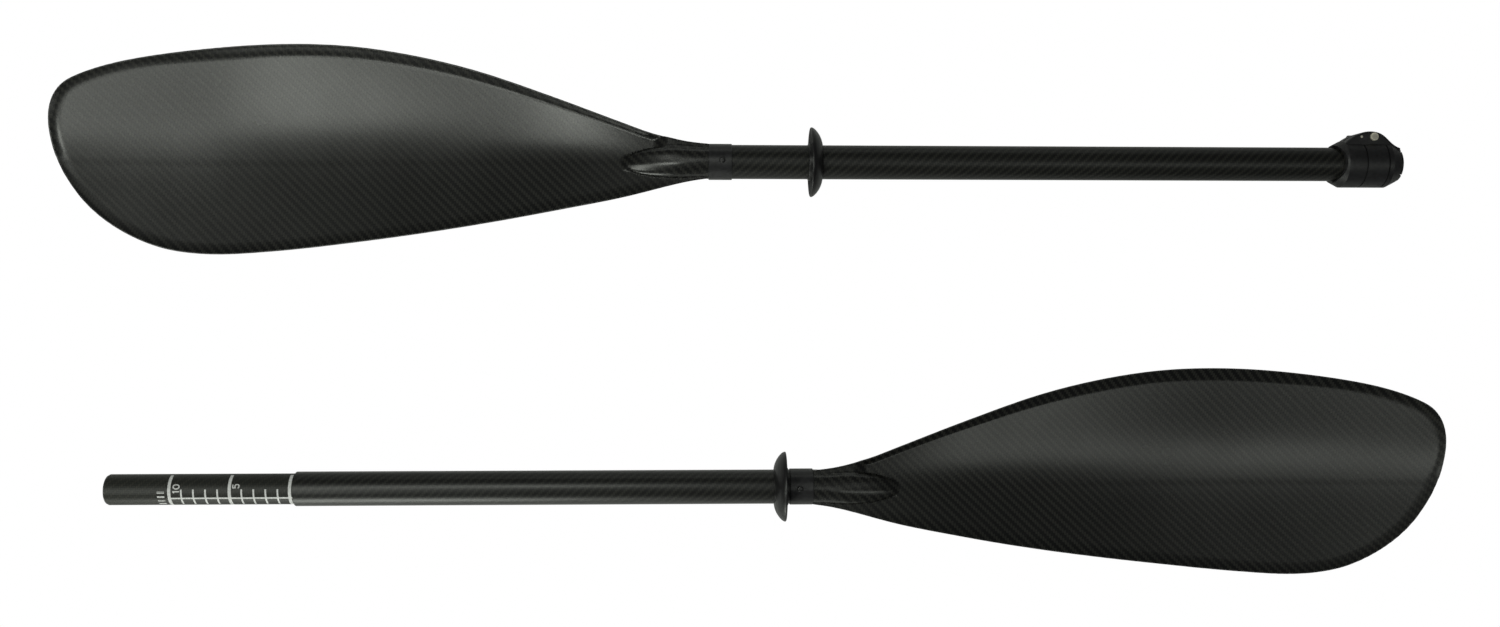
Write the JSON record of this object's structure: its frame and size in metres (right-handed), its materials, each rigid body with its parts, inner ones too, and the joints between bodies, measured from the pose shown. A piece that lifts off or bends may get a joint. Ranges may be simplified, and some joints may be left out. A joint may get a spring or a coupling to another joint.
{
  "type": "kayak paddle",
  "caption": "Two-piece adjustable kayak paddle with curled wing blades, sliding marked ferrule, cam-lever clamp, snap-button blade joints and rubber drip rings.",
  "frame": {"origin": "centre of the outer half's clamp mouth, on the outer shaft's axis", "axes": "+X out of the clamp mouth along the shaft, +Y towards the blades' leading edges, +Z towards the power faces"},
  "size_m": [1.212, 0.4605, 0.06],
  "materials": {
    "carbon_gloss": "gloss",
    "carbon_satin": "satin",
    "clamp_plastic": "satin",
    "black_rubber": "matte",
    "steel": "satin",
    "nut_brass": "satin",
    "foam": "matte"
  },
  "bodies": {
    "outer_half": {"outer_blade_face_skin": "carbon_gloss", "outer_blade_back_skin": "carbon_gloss", "outer_blade_core": "foam", "outer_blade_neck": "carbon_gloss", "outer_neck_spigot": "carbon_satin", "outer_joint_collar": "clamp_plastic", "outer_snap_spring": "steel", "outer_shaft": "carbon_gloss", "outer_foam_plug": "foam", "clamp_body": "clamp_plastic", "clamp_guide_pin": "steel", "clamp_saddle": "steel"},
    "outer_button": {"outer_snap_button": "clamp_plastic"},
    "outer_ring": {"outer_drip_ring": "black_rubber"},
    "clamp_tie": {"clamp_bolt": "steel", "clamp_nut": "nut_brass", "clamp_lever_pin": "steel"},
    "clamp_arm": {"clamp_lever": "clamp_plastic"},
    "inner_plug": {"inner_foam_plug": "foam"},
    "inner_bung": {"ferrule_end_bung": "black_rubber"},
    "inner_half": {"inner_blade_face_skin": "carbon_gloss", "inner_blade_back_skin": "carbon_gloss", "inner_blade_core": "foam", "inner_blade_neck": "carbon_gloss", "inner_neck_spigot": "carbon_satin", "inner_joint_collar": "clamp_plastic", "inner_snap_spring": "steel", "inner_shaft": "carbon_gloss", "ferrule_tube": "carbon_satin"},
    "inner_button": {"inner_snap_button": "clamp_plastic"},
    "inner_ring": {"inner_drip_ring": "black_rubber"}
  },
  "joints": [
    {"name": "bring_in_line", "type": "slide", "parent": "outer_half", "child": "inner_plug", "axis": [0.9798, 0.2002, 0], "range_m": [0, 1.39617]},
    {"name": "length_slide", "type": "slide", "parent": "inner_plug", "child": "inner_bung", "axis": [-1, 0, 0], "range_m": [0, 0.4162]},
    {"name": "feather_turn", "type": "hinge", "parent": "inner_bung", "child": "inner_half", "pos_m": [-1, -0.2795, 0], "axis": [1, 0, 0], "continuous": true},
    {"name": "lever_throw", "type": "hinge", "parent": "clamp_tie", "child": "clamp_arm", "pos_m": [-0.0251, 0.0228, -0.0187], "axis": [1, 0, 0], "range_deg": [0, 140]},
    {"name": "clamp_draw", "type": "slide", "parent": "outer_half", "child": "clamp_tie", "axis": [0, 0, 1], "range_m": [0, 0.00088]},
    {"name": "outer_button_press", "type": "slide", "parent": "outer_half", "child": "outer_button", "axis": [0, 0, -1], "range_m": [0, 0.0048], "stiffness_N_per_m": 120, "springref_m": -0.003, "deforming": ["outer_snap_spring"]},
    {"name": "inner_button_press", "type": "slide", "parent": "inner_half", "child": "inner_button", "axis": [0, 0, -1], "range_m": [0, 0.0048], "stiffness_N_per_m": 120, "springref_m": -0.003, "deforming": ["inner_snap_spring"]},
    {"name": "outer_ring_slide", "type": "slide", "parent": "outer_half", "child": "outer_ring", "axis": [1, 0, 0], "range_m": [-0.064, 0.44]},
    {"name": "inner_ring_slide", "type": "slide", "parent": "inner_half", "child": "inner_ring", "axis": [-1, 0, 0], "range_m": [0, 0.4]}
  ],
  "couplings": [
    {"joint": "clamp_draw", "follows": "lever_throw", "m_per_rad": 0.00036}
  ]
}
